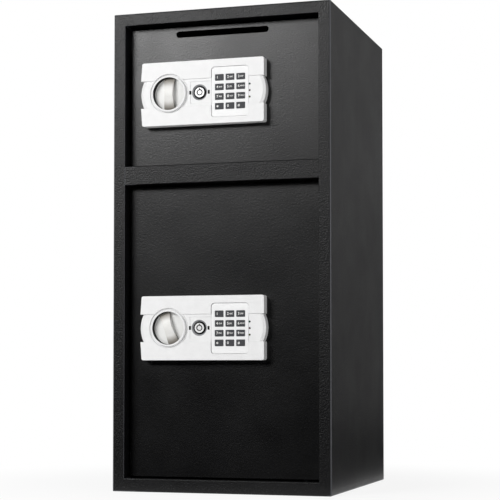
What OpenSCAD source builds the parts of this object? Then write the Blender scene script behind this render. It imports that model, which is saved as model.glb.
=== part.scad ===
// Double-door safe: a letter-drop compartment above a tall main compartment.
// X runs to the right, Y into the safe, Z up. The front face looks towards -Y.
// The origin is the middle of the base. All sizes are in millimetres.

/* [Cabinet] */
// Width of the cabinet
body_w = 350; // [340:1:420]
// Depth of the cabinet, front to back
body_d = 370; // [320:1:450]
// Height of the cabinet
body_h = 745; // [735:1:820]
// Thickness of the body sheet
wall = 3; // [2.6:0.1:3.6]
// Outside radius of the folded sheet
edge_r = 2.5; // [1:0.1:2.5]
// Thickness of the floor mats
mat_t = 4; // [2:0.5:6]
// Distance between the two anchor holes of the floor and of the rear panel
anchor_pitch = 180; // [120:5:240]
// Radius of the anchor holes
anchor_hole_r = 5.25; // [4.5:0.25:7]

/* [Front frame] */
// Width of the front flange at the sides and the top
flange_w = 19; // [17:0.5:24]
// Height of the front flange under the lower door
base_flange = 20; // [18:0.5:26]
// Height of the rail between the doors
rail_h = 28; // [26:1:36]
// Clear height of the upper opening
upper_open_h = 222; // [216:1:236]
// Depth of the top, bottom and rail lips, which carry the hinge pins
hinge_lip_d = 45; // [39:1:50]

/* [Doors] */
// How far the door fronts lie behind the front face
door_recess = 20; // [19:0.25:21]
// Thickness of the door plate
door_t = 5; // [4:0.25:5]
// Running gap round each door
door_gap = 2.5; // [2.3:0.1:3]
// Distance of the hinge axis from the hinge side edge of the door
pivot_in = 22; // [20:0.5:26]
// Distance of the hinge axis behind the front of the door
pivot_back = 9; // [8.6:0.1:9.4]
// Radius of the hinge pins
pin_r = 4; // [3:0.25:4]
// Length of pin inside the door
pin_len = 20; // [14:1:26]

/* [Letter slot] */
// Length of the slot
slot_l = 150; // [120:1:170]
// Height of the slot
slot_h = 9; // [7:0.5:10]
// Distance of the slot's centre line under the top edge of the door
slot_drop = 12.3; // [12:0.1:13.5]
// Place of the slot, right of the door's middle
slot_off = -3; // [-8:0.5:4]
// Thickness of the chute's sheet
chute_t = 1.5; // [1.2:0.1:1.8]
// Depth of the way down between the cover and the back of the chute
chute_way = 16; // [14:0.5:20]

/* [Lock panel] */
// Distance of the panel's middle from the lock side edge of the door
panel_in = 123.5; // [122.5:0.5:126.5]
// Panel's middle under the top edge of the upper door
upper_lock_drop = 107.2; // [105:0.1:112]
// Panel's middle under the top edge of the lower door
lower_lock_drop = 221; // [180:1:260]
// Width of the panel
panel_w = 198; // [194:0.5:206]
// Height of the panel
panel_h = 99; // [94:0.5:106]
// Thickness of the panel
panel_t = 16; // [15.5:0.1:16.5]
// Thickness of the panel's front skin
panel_skin = 3; // [2.6:0.1:3.4]
// Corner radius of the panel
panel_r = 3; // [1:0.25:6]
// Height of the sunk middle band
band_h = 42.6; // [40:0.2:46]
// Depth of the band under the two blocks
band_step = 1.5; // [1:0.1:1.8]
// Bulge of the band's rounded ends
band_bulge = 5; // [3:0.25:7]
// Slant of the left edges of the blocks
block_slant = 1.7; // [0:0.1:3]

/* [Knob] */
// Place of the knob, right of the panel's middle
knob_off = -55; // [-57:0.5:-54]
// Outer radius of the collar round the knob
collar_r = 28.5; // [27.5:0.1:29.5]
// Inner radius of the collar
well_r = 25.5; // [24:0.1:26]
// Depth of the finger pockets under the collar's rim
pocket_d = 9; // [7:0.25:9.5]
// Width of the grip rib at its middle
rib_mid_w = 13.5; // [10:0.5:15]
// Width of the grip rib at its ends
rib_end_w = 18.5; // [15:0.5:20]
// Radius of the spindle
spindle_r = 6; // [5:0.25:6]
// How far the lower knob is turned in the photograph, in degrees
lower_turn = 19; // [0:1:25]

/* [Override lock] */
// Place of the lock, right of the panel's middle
lock_off = -5; // [-7:0.5:-4]
// Radius of the lock's bright nose
nose_r = 7.6; // [7:0.1:8]
// Radius of the lock barrel behind the panel
barrel_r = 9.5; // [9:0.1:9.5]
// Radius of the turning plug
plug_r = 4.8; // [4.2:0.1:5.2]
// Distance of the two slots of the cover cap from the lock's middle
cap_slot_off = 15; // [14.5:0.1:15.5]

/* [Keypad] */
// Place of the keypad's middle, right of the panel's middle
keys_off = 44.5; // [43:0.5:46]
// Width of the keypad bezel
bezel_w = 59.4; // [58:0.2:60]
// Height of the keypad bezel
bezel_h = 77; // [72:1:82]
// Thickness of the bezel
bezel_t = 1.6; // [1.4:0.1:1.8]
// Width of a key
key_w = 13.4; // [11:0.2:14]
// Height of a key
key_h = 9.4; // [7:0.2:10.4]
// Distance between the columns of keys
key_px = 17.2; // [16.4:0.1:17.6]
// Distance between the rows of keys
key_pz = 14.85; // [13:0.15:15.3]
// How far a key can be pressed
key_travel = 1.2; // [0.8:0.1:1.2]
// Distance between the indicator lamps
lamp_pz = 10; // [8:0.5:11]

/* [Bolt work] */
// Travel of the live bolts
bolt_throw = 18; // [12:0.5:18]
// Radius of the live bolts
bolt_r = 8; // [6:0.5:8]
// Height of each live bolt above or below the panel's middle
bolt_z = 34; // [30:1:36]
// Reach of the drawn-back bolts past the side of the door cover
bolt_reach = 6.5; // [5:0.25:7]
// Turn of the knob from open to locked, in degrees
knob_turn = 70; // [60:2:76]

/* [Door cover] */
// Distance of the cover from the lock side edge of the door
cover_in = 13.5; // [12:0.5:15]
// Clear space between the cover and the hinge bar
cover_clear = 12.5; // [9:0.5:18]
// Height of the cover
cover_h = 150; // [146:1:156]
// Depth of the cover behind the door plate
cover_d = 38; // [36:0.5:42]
// Thickness of the cover's sheet
cover_t = 1.5; // [1.2:0.1:2]
// Corner radius of the cover
cover_r = 5; // [3:0.5:8]

/* [Hidden] */
$fn = 48;
gap = 0.3;             // least gap between pieces that move past each other
pin_fit = 0.05;        // running clearance of the hinge pins, spindle and plug
DOORS = ["upper", "lower"];
KEYS = ["1", "2", "3", "4", "5", "6", "7", "8", "9", "star", "0", "hash"];

front_y = -body_d / 2;
back_y = body_d / 2;
open_x = body_w / 2 - flange_w;
open_top = body_h - flange_w;
rail_top = open_top - upper_open_h;
rail_bot = rail_top - rail_h;
in_x = body_w / 2 - wall;
divider_z = (rail_bot + rail_top + wall) / 2; // top face of the divider, in the middle of the rail
fold_h = 14;                                 // height of the divider's side folds
fold_in = 40;                                // their distance from the front and from the back
mat_x = in_x - 4;
mat_y = [front_y + hinge_lip_d + 3, back_y - wall - 4];
floor_hole_y = 40;                           // place of the floor's anchor holes
wall_hole_drop = 90;                         // the rear panel's anchor holes under the rail

door_y = front_y + door_recess;
door_back = door_y + door_t;
door_x = open_x - door_gap;
door_z0 = [rail_top + door_gap, base_flange + door_gap];
door_z1 = [open_top - door_gap, rail_bot - door_gap];
pivot_x = door_x - pivot_in;
pivot_y = door_y + pivot_back;
hinge_bar = [18, pivot_back + 8 - door_t];   // width and depth of the hinge bar
stop = [7, 30, 6];                           // reach, height and distance from the door's edge of the stops

turn = [0, lower_turn];
lock_x = panel_in - door_x;
lock_z = [door_z1[0] - upper_lock_drop, door_z1[1] - lower_lock_drop];
band_v = -(panel_t - band_step);             // front face of the middle band
skin_v = band_v + panel_skin;                // inside of the panel's front skin
rim_v = -(panel_t + 1.5);                    // rim of the knob's collar
well_v = rim_v + pocket_d + 4 + gap;         // floor under the knob
bezel_v = band_v + bezel_t;                  // back of the bezel
keys_z = -1;                                 // height of the keypad's middle
board_v = bezel_v + gap + 5;                 // front of the keypad board
board = [70, 76, 1.6];                       // width, height and thickness of the keypad board
lamp_x = keys_off + bezel_w / 2 + 1.8;
key_field = [2 * key_px + 18.6, 3 * key_pz + 15.5];

half_turn = knob_turn / 2;
crank_r = bolt_throw / 2 / sin(half_turn);
crank_pin_r = 3;
crank_v = [door_t + 2, door_t + 5];          // front and back of the crank plate
plate_v = [crank_v[1] + 3, crank_v[1] + 6];  // front and back of the bolt carriage
bolt_v = plate_v[0] + bolt_r + 4;            // height of the bolts' axis behind the door
notch_r = bolt_r + 1;                        // half width of the cover's notches for the bolts
lip_d = door_recess + bolt_v - bolt_r - 4;   // depth of the side lips, up to 4 mm from the shot bolts
cover_x = [cover_in - panel_in, pivot_x - hinge_bar[0] / 2 - cover_clear - lock_x]; // sides of the cover
cover_tab = [16, 11];                        // width and reach of the cover's screw tabs
tab_in = 20;                                 // middle of a tab from the side of the cover
flange_x = cover_x[0] + cover_t + bolt_throw + 2.5;
guide_x = -74;
guide_z = 34;
guide_r = 4;
guide_rim = 3;                               // width of the studs' shoulder and head
lead_r = 6;                                  // radius of the hole for the keypad's lead
plate_right = lock_off - barrel_r - 5.5;        // right edge of the bolt carriage
latch_x = plate_right + 14;                  // place of the solenoid's plunger
latch_z = 32;                                // top edge of the carriage's tail
latch_v = (plate_v[0] + plate_v[1]) / 2;
plunger_r = 3.5;
solenoid_up = 8;                             // height of the solenoid above the carriage's tail
solenoid_h = 32;                             // height of the solenoid
battery = [60, 54, 17];                      // inside of the battery pocket
battery_in = 70;                             // middle of the pocket from the hinge side of the cover
battery_x = cover_x[1] - battery_in;
lid_grip_l = 24;                             // length of the grip grooves of its lid
reset_in = 20;                               // middle of the reset button from that side
reset_x = cover_x[1] - reset_in;
spindle_hole = [40, 26];                     // opening of the bolt carriage round the spindle
screw_r = 2.2;                               // clearance holes of the small screws
screw_in = 8;                                // middle of a panel screw from the panel's edge
panel_fix = [for (x = [-1, 1], z = [-1, 1])
    [x * (panel_w / 2 - screw_in), z * (panel_h / 2 - screw_in - 1)]];
board_fix = [for (x = [-1, 1], z = [-1, 1])
    [keys_off + x * (board[0] / 2 - 4.5), keys_z + z * (board[1] / 2 - 4)]];

// Shared shapes

// Rectangle with true round corners, about the origin
module rounded_rect(w, h, r) {
    square([w - 2 * r, h], center = true);
    square([w, h - 2 * r], center = true);
    for (x = [-1, 1], y = [-1, 1]) translate([x * (w / 2 - r), y * (h / 2 - r)]) circle(r);
}

// Box from its low and high corners
module box(lo, hi) translate(lo) cube(hi - lo);

// Outline in X and Z, given depth from y0 to y1
module slab(y0, y1) translate([0, y1, 0]) rotate([90, 0, 0]) linear_extrude(y1 - y0) children();

// Outline in Y and Z, given width from x0 to x1
module bar(x0, x1) translate([x0, 0, 0]) rotate([90, 0, 90]) linear_extrude(x1 - x0) children();

// Round bar or hole along Y
module rod_y(x, z, r, y0, y1) translate([x, y1, z]) rotate([90, 0, 0]) cylinder(r = r, h = y1 - y0);

// Box with all twelve edges rounded, about the origin in X and Y, standing on Z = 0
module rounded_block(w, d, h, r) intersection() {
    linear_extrude(h) rounded_rect(w, d, r);
    slab(-d, d) translate([0, h / 2]) rounded_rect(w, h, r);
    bar(-w, w) translate([0, h / 2]) rounded_rect(d, h, r);
}

// Origin at the middle of a lock panel, on the front face of its door
module at_lock(d) translate([lock_x, door_y, lock_z[d]]) children();

// Turns a piece with the knob of door d, about the knob's axis
module at_knob(d) at_lock(d) translate([knob_off, 0, 0]) rotate([0, -turn[d], 0]) children();

// Cabinet

module cabinet_shell() color("#3f4042") difference() {
    union() {
        difference() {
            rounded_block(body_w, body_d, body_h, edge_r);
            box([-in_x, front_y + wall, wall], [in_x, back_y + 1, body_h - wall]);
            box([-open_x, front_y - 1, base_flange], [open_x, front_y + wall + 1, open_top]);
        }
        // side lips
        for (s = [-1, 1]) {
            lip_x = [min(s * open_x, s * (open_x + wall)), max(s * open_x, s * (open_x + wall))];
            box([lip_x[0], front_y + 1, base_flange - wall], [lip_x[1], front_y + lip_d, open_top + wall]);
        }
        // top and bottom lips
        for (z = [open_top, base_flange - wall])
            box([-open_x - wall, front_y + 1, z], [open_x + wall, front_y + hinge_lip_d, z + wall]);
    }
    for (z = [open_top, base_flange - wall])
        translate([pivot_x, pivot_y, z - 1]) cylinder(r = pin_r + 0.1, h = wall + 2);
    for (x = [-1, 1]) translate([x * anchor_pitch / 2, floor_hole_y, -1])
        cylinder(r = anchor_hole_r, h = wall + 2);
}

// Rail between the doors, and the four stops on the left lip that the doors close against
module rail_and_stops() color("#3a3b3d") {
    difference() {
        union() {
            box([-open_x, front_y, rail_bot], [open_x, front_y + wall, rail_top]);
            for (z = [rail_bot, rail_top - wall])
                box([-open_x, front_y + 1, z], [open_x, front_y + hinge_lip_d, z + wall]);
        }
        for (z = [rail_bot, rail_top - wall])
            translate([pivot_x, pivot_y, z - 1]) cylinder(r = pin_r + 0.1, h = wall + 2);
    }
    for (d = [0, 1], z = [door_z0[d] + stop[2], door_z1[d] - stop[2] - stop[1]])
        box([-open_x, door_back + gap, z], [stop[0] - open_x, front_y + lip_d, z + stop[1]]);
}

// Shelf between the compartments, folded down along both sides
module divider_plate() color("#343537") {
    box([-open_x + gap, front_y + wall, divider_z - wall], [open_x - gap, front_y + lip_d + 1, divider_z]);
    box([-in_x, front_y + lip_d + gap, divider_z - wall], [in_x, back_y - wall, divider_z]);
    for (x = [-in_x, in_x - wall])
        box([x, front_y + fold_in, divider_z - fold_h], [x + wall, back_y - fold_in, divider_z - wall]);
}

module rear_panel() color("#343537") difference() {
    box([-in_x, back_y - wall, wall], [in_x, back_y, body_h - wall]);
    for (x = [-1, 1])
        rod_y(x * anchor_pitch / 2, rail_bot - wall_hole_drop, anchor_hole_r, back_y - wall - 1, back_y + 1);
}

module floor_mats() color("#2b2c2e") {
    box([-mat_x, mat_y[0], divider_z], [mat_x, mat_y[1], divider_z + mat_t]);
    difference() {
        box([-mat_x, mat_y[0], wall], [mat_x, mat_y[1], wall + mat_t]);
        for (x = [-1, 1]) translate([x * anchor_pitch / 2, floor_hole_y, wall - 1])
            cylinder(r = anchor_hole_r + 8, h = mat_t + 2);
    }
}

// Shoulder pin: head outside the lip, collar in the door gap, pin in the door.
// It points up from z, the face of the lip that looks at the door.
module hinge_pin(z, up) translate([pivot_x, pivot_y, z]) mirror([0, 0, up ? 0 : 1]) {
    translate([0, 0, -wall - 3]) cylinder(r = pin_r + 3, h = 3);
    translate([0, 0, -wall - 1]) cylinder(r = pin_r, h = wall + 1 + door_gap + pin_len);
    cylinder(r = pin_r + 3, h = door_gap - gap);
}

module hinge_pins() color("#b9bbbe") {
    hinge_pin(open_top, false);
    hinge_pin(rail_top, true);
    hinge_pin(rail_bot, false);
    hinge_pin(base_flange, true);
}

// Sleeve anchor with a hex head and washer, lying along Y on the mat
anchor_r = 4.3;
anchor_l = 52;
anchor_head = [7.5, 5.5];                    // radius and height of the hex head
anchor_step = 32;                            // distance between the anchors
washer_r = 8.5;
cone_l = 9;                                  // length of the cone at the anchor's tip
module anchor_bolt() rotate([-90, 0, 0]) {
    neck = anchor_r - 1.1;
    rotate_extrude() polygon([[0, 0], [anchor_r + 0.7, 0], [anchor_r + 0.7, cone_l / 3], [neck, cone_l],
        [neck, cone_l + 0.5], [anchor_r, cone_l + 0.5], [anchor_r, anchor_l - 1.6],
        [washer_r, anchor_l - 1.6], [washer_r, anchor_l], [0, anchor_l]]);
    translate([0, 0, anchor_l]) cylinder(r = anchor_head[0], h = anchor_head[1], $fn = 6);
}

module anchor_bolts() color("#c3c5c8") for (i = [0:3])
    translate([anchor_step * (i - 1.5), mat_y[1] - anchor_l - anchor_step - 4, wall + mat_t + washer_r])
        anchor_bolt();

// Doors

module door_plate(d) color(d == 0 ? "#5c5d5f" : "#3c3d3f") {
    h = door_z1[d] - door_z0[d];
    difference() {
        union() {
            translate([0, door_y + door_t / 2, door_z0[d]]) rounded_block(2 * door_x, door_t, h, 1);
            box([pivot_x - hinge_bar[0] / 2, door_back - 1, door_z0[d] + 1],
                [pivot_x + hinge_bar[0] / 2, door_back + hinge_bar[1], door_z1[d] - 1]);
        }
        for (z = [door_z0[d] - 1, door_z1[d] - pin_len - 2])
            translate([pivot_x, pivot_y, z]) cylinder(r = pin_r + pin_fit, h = pin_len + 3);
        if (d == 0) slab(door_y - 1, door_back + 1)
            translate([slot_off, door_z1[0] - slot_drop]) rounded_rect(slot_l, slot_h, slot_h / 2 - 0.01);
        at_lock(d) {
            rod_y(knob_off, 0, spindle_r + pin_fit, -1, door_t + 1);
            rod_y(lock_off, 0, barrel_r + 0.1, -1, door_t + 1);
            rod_y(keys_off, 0, lead_r, -1, door_t + 1);
            for (p = panel_fix) rod_y(p[0], p[1], screw_r, -1, door_t + 1);
        }
    }
    // shoulder studs that guide the bolt carriage
    at_lock(d) for (z = [-guide_z, guide_z]) {
        rod_y(guide_x, z, guide_r + guide_rim, door_t - 1, plate_v[0] - gap);
        rod_y(guide_x, z, guide_r, door_t, plate_v[1] + gap + 1);
        rod_y(guide_x, z, guide_r + guide_rim, plate_v[1] + gap, plate_v[1] + gap + 2);
    }
}

// Steel pan over the lock work, with the battery pocket and its rails
module door_cover(d) color("#4a4b4d") at_lock(d) {
    face = door_t + cover_d;
    rail_x = battery[0] / 2 + 3;
    size = [cover_x[1] - cover_x[0], cover_h];
    mid = [(cover_x[0] + cover_x[1]) / 2, 0];
    difference() {
        union() {
            difference() {
                union() {
                    slab(door_t, face) translate(mid) rounded_rect(size[0], size[1], cover_r);
                    slab(door_t, door_t + cover_t) for (x = [cover_x[0] + tab_in, cover_x[1] - tab_in])
                        translate([x, 0]) rounded_rect(cover_tab[0], cover_h + 2 * cover_tab[1], 3);
                }
                slab(door_t - 1, face - cover_t) translate(mid)
                    rounded_rect(size[0] - 2 * cover_t, size[1] - 2 * cover_t, cover_r - cover_t);
            }
            translate([battery_x, 0, 0])
                box([-battery[0] / 2 - 2, face - battery[2] - 2, -battery[1] / 2 - 2],
                [battery[0] / 2 + 2, face, battery[1] / 2 + 2]);
        }
        translate([battery_x, 0, 0]) box([-battery[0] / 2, face - battery[2], -battery[1] / 2],
            [battery[0] / 2, face + 1, battery[1] / 2]);
        // open notches, so the cover drops over the bolts
        for (z = [-bolt_z, bolt_z]) translate([cover_x[0] - 1, 0, z]) {
            box([0, door_t - 1, -notch_r], [cover_t + 2, bolt_v, notch_r]);
            translate([0, bolt_v, 0]) rotate([0, 90, 0]) cylinder(r = notch_r, h = cover_t + 2);
        }
        rod_y(reset_x, 0, 3 + gap, face - cover_t - 1, face + 1);
        for (x = [cover_x[0] + tab_in, cover_x[1] - tab_in], s = [-1, 1])
            rod_y(x, s * (cover_h / 2 + cover_tab[1] - 5), screw_r, door_t - 1, door_t + cover_t + 1);
    }
    // rails and end stop of the battery lid
    for (s = [-1, 1]) translate([battery_x, face, 0]) mirror([s < 0 ? 1 : 0, 0, 0]) {
        box([rail_x + gap, -0.5, -battery[1] / 2 - 4], [rail_x + 3, 3.9, battery[1] / 2 + 6]);
        box([rail_x - 2, 2 + 2 * gap, -battery[1] / 2 - 4], [rail_x + 3, 3.9, battery[1] / 2 + 6]);
    }
    box([battery_x - rail_x, face - 0.5, battery[1] / 2 + 4 + gap],
        [battery_x + rail_x, face + 2, battery[1] / 2 + 6]);
}

// Sliding lid of the battery pocket
module battery_cover(d) color("#232425") at_lock(d) translate([battery_x, door_t + cover_d + gap, 0])
    difference() {
        box([-battery[0] / 2 - 3, 0, -battery[1] / 2 - 4], [battery[0] / 2 + 3, 2, battery[1] / 2 + 4]);
        for (z = [0:2]) translate([0, 2.4, -battery[1] / 2 + 4 + 3 * z]) rotate([0, 90, 0])
            cylinder(r = 1, h = lid_grip_l, center = true);
    }

module reset_button(d) color("#a32a22") at_lock(d) {
    face = door_t + cover_d;
    rod_y(reset_x, 0, 3, face - 8, face + 2);
    rod_y(reset_x, 0, 5, face - cover_t - gap - 2.5, face - cover_t - gap);
}

// Lock panel

// One of the two raised blocks, the upper one, in X and Z
module block_outline() {
    top = panel_h / 2;
    low = band_h / 2;
    r = panel_r;
    left = -panel_w / 2;
    right = panel_w / 2;
    a = atan(block_slant / (top - low));
    polygon([[left - block_slant, low], [left + r - r * cos(a), top - r + r * sin(a)], [left + r, top],
        [right - r, top], [right, top - r], [right, low]]);
    translate([left + r, top - r]) circle(r);
    translate([right - r, top - r]) circle(r);
}

// Middle band with bulging ends, their front edge bevelled
module band() {
    end_r = (pow(band_h / 2, 2) + pow(band_bulge, 2)) / (2 * band_bulge);
    end_x = panel_w / 2 + 2.5 - end_r;
    intersection() {
        union() {
            for (s = [-1, 1]) translate([s * end_x, 0, 0]) rotate([90, 0, 0]) rotate_extrude($fn = 96)
                polygon([[0, 0], [end_r, 0], [end_r, -band_v - 2], [end_r - 4.5, -band_v], [0, -band_v]]);
            box([-end_x, band_v, -band_h], [end_x, 0, band_h]);
        }
        box([-panel_w, band_v - 1, -band_h / 2 - 0.5], [panel_w, 1, band_h / 2 + 0.5]);
    }
}

module lock_panel(d) color("#eceded") at_lock(d) {
    difference() {
        union() {
            band();
            slab(-panel_t, 0) block_outline();
            slab(-panel_t, 0) mirror([0, 1]) block_outline();
            translate([knob_off, 0, 0]) rotate([90, 0, 0]) rotate_extrude($fn = 96)
                polygon([[0, 0], [collar_r + 3, 0], [collar_r + 3, panel_t - 1], [collar_r, panel_t - 1],
                    [collar_r, -rim_v - 0.8], [collar_r - 0.8, -rim_v], [0, -rim_v]]);
        }
        // hollow behind the skin, round the knob's well and the lock
        difference() {
            box([3 - panel_w / 2, skin_v, 3 - panel_h / 2], [panel_w / 2 - 3, 1, panel_h / 2 - 3]);
            rod_y(knob_off, 0, collar_r, skin_v - 1, 2);
            rod_y(lock_off, 0, barrel_r + 4, skin_v - 1, 2);
            for (p = panel_fix) rod_y(p[0], p[1], 4, skin_v - 1, 2);
            for (p = board_fix) rod_y(p[0], p[1], 3, skin_v - 1, board_v);
        }
        // groove round the collar, cut into the blocks
        translate([knob_off, 0, 0]) rotate([90, 0, 0]) rotate_extrude($fn = 96)
            translate([collar_r, panel_t - 2.5]) square([2.5, 3]);
        // knob well
        rod_y(knob_off, 0, well_r, rim_v - 1, well_v);
        rod_y(knob_off, 0, spindle_r + gap, rim_v - 1, 1);
        // field round the override lock, its left side concentric with the knob
        slab(band_v - 1, band_v + 0.6) difference() {
            translate([(lock_off - 15 + keys_off - bezel_w / 2) / 2, 0])
                square([keys_off - bezel_w / 2 - lock_off + 15, band_h - 9], center = true);
            translate([knob_off, 0]) circle(collar_r + 7, $fn = 96);
        }
        translate([lock_off, 0, 0]) rotate([90, 0, 0]) rotate_extrude()
            polygon([[0, -1], [barrel_r + 0.5, -1], [barrel_r + 0.5, -band_v - 3],
                [nose_r + 5, -band_v - 0.4], [nose_r + 5, -band_v + 3], [0, -band_v + 3]]);
        for (s = [-1, 1]) translate([lock_off + s * cap_slot_off, band_v, 0])
            cube([3.2, 5, 5.8], center = true);
        // seat of the bezel, and the window for the keys
        slab(-panel_t - 1, bezel_v) translate([keys_off, keys_z]) rounded_rect(bezel_w + 1, bezel_h + 1, 5.5);
        slab(-panel_t - 1, skin_v + 1) translate([keys_off, keys_z])
            rounded_rect(key_field[0], key_field[1], 2);
        for (i = [-1:1]) rod_y(lamp_x, keys_z + i * lamp_pz, 1.6, band_v - 1, skin_v + 1);
        for (p = panel_fix) rod_y(p[0], p[1], 1.7, skin_v + 1, 1);
    }
}

module keypad_bezel(d) color("#f2f2f1") at_lock(d) slab(band_v, bezel_v) translate([keys_off, keys_z])
    difference() {
        rounded_rect(bezel_w, bezel_h, 5);
        for (c = [-1:1], r = [0:3]) translate([c * key_px, (1.5 - r) * key_pz])
            rounded_rect(key_w + 2 * gap, key_h + 2 * gap, 1);
    }

module keypad_board(d) color("#2e6b3c") at_lock(d) {
    slab(board_v, board_v + board[2]) translate([keys_off + 1, keys_z]) rounded_rect(board[0], board[1], 1.5);
    for (i = [-1:1]) {
        rod_y(lamp_x, keys_z + i * lamp_pz, 1.5, band_v - 0.2, board_v + 0.5);
        rod_y(lamp_x, keys_z + i * lamp_pz, 2, board_v - 1.5, board_v + 0.5);
    }
    for (c = [-1:1], r = [0:3]) rod_y(keys_off + c * key_px, keys_z + (1.5 - r) * key_pz, 2.5,
        board_v - 0.3, board_v + 0.5);
}

// Key number k counts from the top left; its flange sits behind the bezel
module key(d, k) color("#3a3b3e") at_lock(d)
    translate([keys_off + (k % 3 - 1) * key_px, 0, keys_z + (1.5 - floor(k / 3)) * key_pz]) {
        flange_v = bezel_v + gap;
        slab(band_v - 0.8, flange_v + 0.5) rounded_rect(key_w, key_h, 0.8);
        slab(flange_v, flange_v + 1) square([key_w + 1.8, key_h + 1.8], center = true);
        slab(flange_v + 0.5, board_v - key_travel - 0.6) square([6, 4], center = true);
    }

// Knob, override lock and bolt work

module knob(d) color("#e4e5e6") at_knob(d) {
    disc_v = rim_v + pocket_d;
    disc_r = well_r - gap;
    crown = 7;                                   // drop of the rib towards its ends
    crown_r = (pow(disc_r, 2) + pow(crown, 2)) / (2 * crown);
    waist = (rib_end_w - rib_mid_w) / 2;
    waist_r = (pow(disc_r, 2) + pow(waist, 2)) / (2 * waist);
    difference() {
        union() {
            rod_y(0, 0, disc_r, disc_v, well_v - gap);
            intersection() {
                slab(rim_v + 0.3, disc_v + 1) difference() {
                    square([rib_end_w, 2 * disc_r], center = true);
                    for (s = [-1, 1]) translate([s * (rib_mid_w / 2 + waist_r), 0]) circle(waist_r, $fn = 96);
                }
                translate([-disc_r, rim_v + 0.3 + crown_r, 0]) rotate([0, 90, 0])
                    cylinder(r = crown_r, h = 2 * disc_r, $fn = 96);
                rod_y(0, 0, disc_r, rim_v, disc_v + 1);
            }
        }
        rod_y(0, 0, spindle_r, disc_v + 1, well_v + 1);
    }
}

// Spindle with its crank plate and pin; the crank stands half a turn right of upright when open
module knob_spindle(d) color("#a9abad") at_knob(d) {
    rod_y(0, 0, spindle_r, rim_v + pocket_d + 1, crank_v[1]);
    rotate([0, half_turn, 0]) {
        slab(crank_v[0], crank_v[1]) {
            circle(9);
            translate([0, crank_r]) circle(6);
            polygon([[-9, 0], [9, 0], [6, crank_r], [-6, crank_r]]);
        }
        rod_y(0, crank_r, crank_pin_r, crank_v[0], plate_v[1] + 3);
    }
}

// How far the bolts of door d already stand out at rest
function bolt_shift(d) = crank_r * (sin(half_turn) - sin(half_turn - turn[d]));

// Slotted plate on the guide studs, bent up at its left end to hold the two live bolts
module bolt_carriage(d) color("#b4b6b9") at_lock(d) translate([-bolt_shift(d), 0, 0]) {
    pin_x = knob_off + bolt_throw / 2;
    pin_z = [crank_r * cos(half_turn) - crank_pin_r - 0.6, crank_r + crank_pin_r + 0.6];
    plate_x = [flange_x, plate_right];
    slab(plate_v[0], plate_v[1]) difference() {
        union() {
            translate([(plate_x[0] + plate_x[1]) / 2, 0])
                rounded_rect(plate_x[1] - plate_x[0], 2 * bolt_z + 20, 2);
            translate([plate_x[1] - 5, latch_z - 12]) square([latch_x + bolt_throw + 13 - plate_x[1], 12]);
        }
        translate([pin_x - crank_pin_r - 0.6, pin_z[0]]) square([2 * crank_pin_r + 1.2, pin_z[1] - pin_z[0]]);
        for (z = [-guide_z, guide_z]) translate([guide_x + bolt_throw / 2, z])
            rounded_rect(bolt_throw + 2 * guide_r + 1, 2 * (guide_r + gap), guide_r + gap - 0.01);
        translate([pin_x - 6, -12]) rounded_rect(spindle_hole[0], spindle_hole[1], 4);
        translate([latch_x + bolt_throw - plunger_r - 0.8, latch_z - 6]) square([2 * plunger_r + 1.6, 7]);
    }
    box([flange_x, plate_v[0], -bolt_z - 10], [flange_x + 3, bolt_v + bolt_r + 1, bolt_z + 10]);
    for (z = [-bolt_z, bolt_z]) translate([0, bolt_v, z]) rotate([0, 90, 0]) {
        translate([0, 0, cover_x[0] - bolt_reach]) cylinder(r1 = bolt_r - 1.5, r2 = bolt_r, h = 1.5);
        translate([0, 0, cover_x[0] - bolt_reach + 1.5])
            cylinder(r = bolt_r, h = flange_x - cover_x[0] + bolt_reach - 1);
        translate([0, 0, flange_x + 2]) cylinder(r = 4, h = 3);
    }
}

// Solenoid: a coil in a bent steel frame, whose foot is screwed to the door
module solenoid(d) color("#8c7f4a") at_lock(d) translate([latch_x, 0, latch_z + solenoid_up]) difference() {
    half_w = 12;
    plate = 2;
    union() {
        box([-half_w, door_t, 0], [half_w, door_t + plate, solenoid_h]);
        for (z = [0, solenoid_h - plate])
            box([-half_w, door_t, z], [half_w, latch_v + half_w - plate, z + plate]);
        box([-half_w, door_t, 0], [half_w + 10, door_t + 1.5, solenoid_h / 2]);
        translate([0, latch_v, plate / 2]) cylinder(r = latch_v - door_t - 0.5, h = solenoid_h - plate);
    }
    translate([0, latch_v, -1]) cylinder(r = plunger_r + gap, h = solenoid_h - plate);
    rod_y(half_w + 5, solenoid_h / 4, screw_r, door_t - 1, door_t + plate);
}

// Plunger, which drops into the notch of the carriage when the bolts are shot
module solenoid_plunger(d) color("#c9cbce") at_lock(d) translate([latch_x, latch_v, latch_z + gap]) {
    cylinder(r1 = plunger_r - 1, r2 = plunger_r, h = 1);
    translate([0, 0, 1]) cylinder(r = plunger_r, h = solenoid_up + solenoid_h - 12);
    translate([0, 0, 1]) cylinder(r = plunger_r + 2, h = 1);
}

module lock_barrel(d) color("#c7c9cc") at_lock(d) translate([lock_off, 0, 0]) difference() {
    union() {
        rod_y(0, 0, nose_r, band_v + 0.9, 0);
        rod_y(0, 0, barrel_r, band_v + 11, door_t + 15);
        translate([0, door_t + 4, 0]) rotate([90, 0, 0]) cylinder(r = barrel_r + 4.5, h = 4, $fn = 6);
    }
    rod_y(0, 0, plug_r + pin_fit, band_v - 1, door_t + 16);
    box([-0.9, band_v, 0], [0.9, band_v + 5, plug_r + 1.5]);
}

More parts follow.
